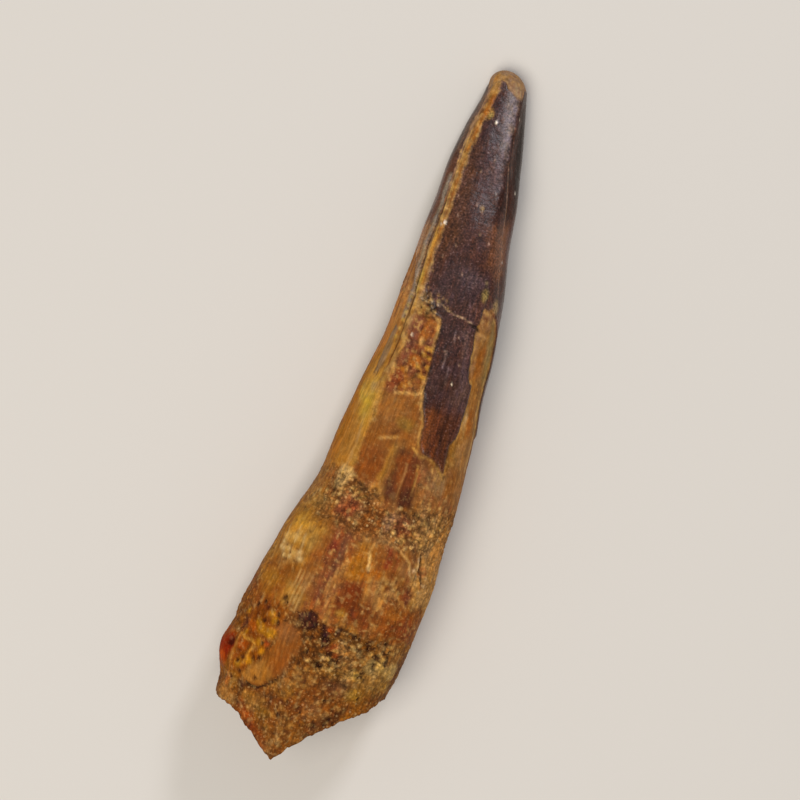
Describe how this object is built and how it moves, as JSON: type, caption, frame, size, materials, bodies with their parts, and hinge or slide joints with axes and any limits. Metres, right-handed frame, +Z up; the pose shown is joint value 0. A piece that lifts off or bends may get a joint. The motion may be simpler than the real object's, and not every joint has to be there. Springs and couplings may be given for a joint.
{
  "type": "fossil dinosaur tooth",
  "caption": "Long conical fossil tooth with a worn tip, cutting-edge ridges, dark enamel, ochre dentine and a sandy, broken root, lying on its side.",
  "frame": {"origin": "middle of the tooth's box, on the surface that it lies on", "axes": "+Y along the tooth towards the tip, +X across it, +Z up from the surface that it lies on"},
  "size_m": [0.018, 0.0716, 0.0127],
  "materials": {
    "fossil": "mineralised tooth: satin dark brown enamel, matt ochre dentine and gritty sandstone grains on the root"
  },
  "bodies": {
    "root": {"tooth": "fossil"}
  },
  "joints": []
}
